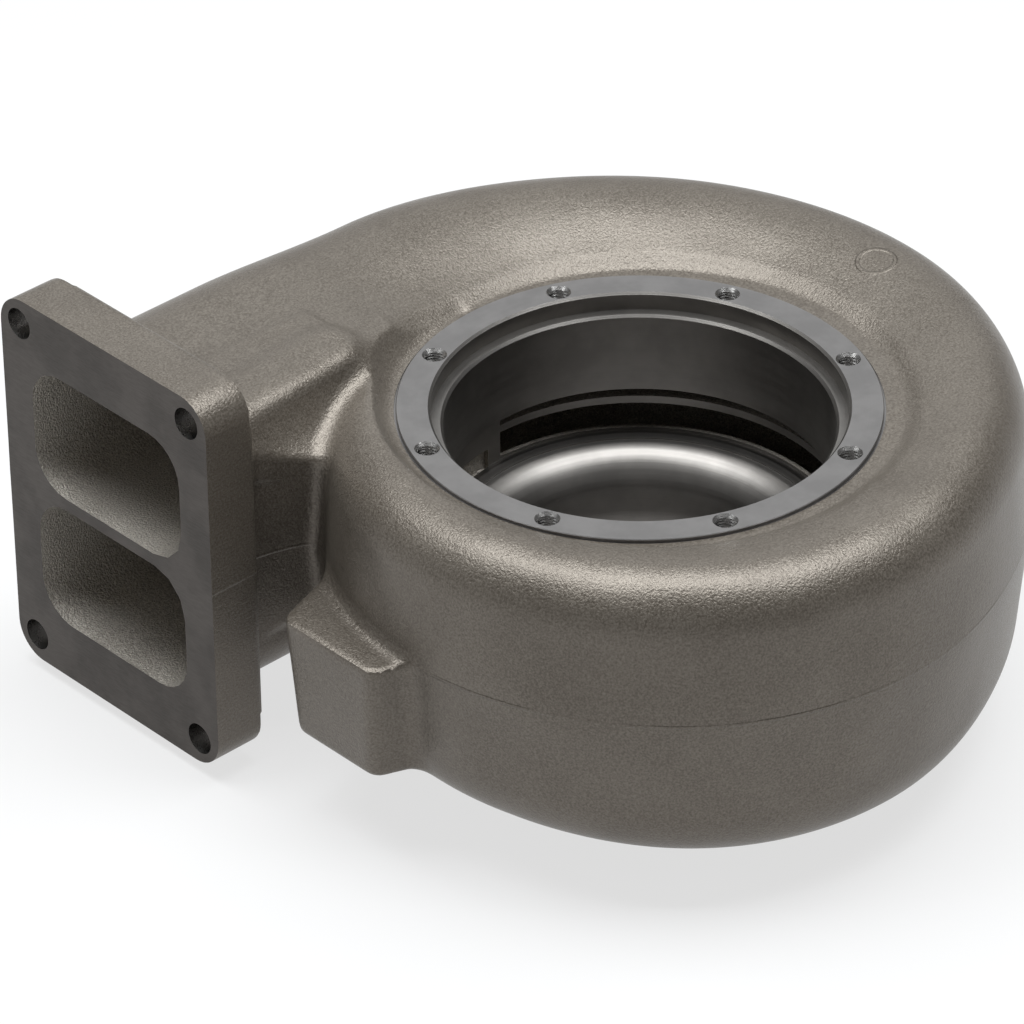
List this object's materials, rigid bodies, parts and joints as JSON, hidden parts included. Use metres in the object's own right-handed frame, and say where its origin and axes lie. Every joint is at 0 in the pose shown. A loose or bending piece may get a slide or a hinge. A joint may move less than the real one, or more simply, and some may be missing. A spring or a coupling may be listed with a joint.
{
  "type": "turbocharger turbine housing",
  "caption": "Cast iron twin-entry turbine housing: a divided inlet duct feeds a spiral round the wheel chamber, with a bolted bearing-side ring and a clamped outlet.",
  "frame": {"origin": "centre of the bearing-side bolt circle, on the machined ring face", "axes": "+Z along the wheel axis out of the ring face, towards the bearing housing; -X out of the inlet flange; the gas runs along +X and then from +Y towards +X"},
  "size_m": [0.3025, 0.3189, 0.162],
  "materials": {
    "cast_iron": "shot-blasted casting with turned and milled faces"
  },
  "bodies": {
    "root": {"turbine_housing": "cast_iron"}
  },
  "joints": []
}
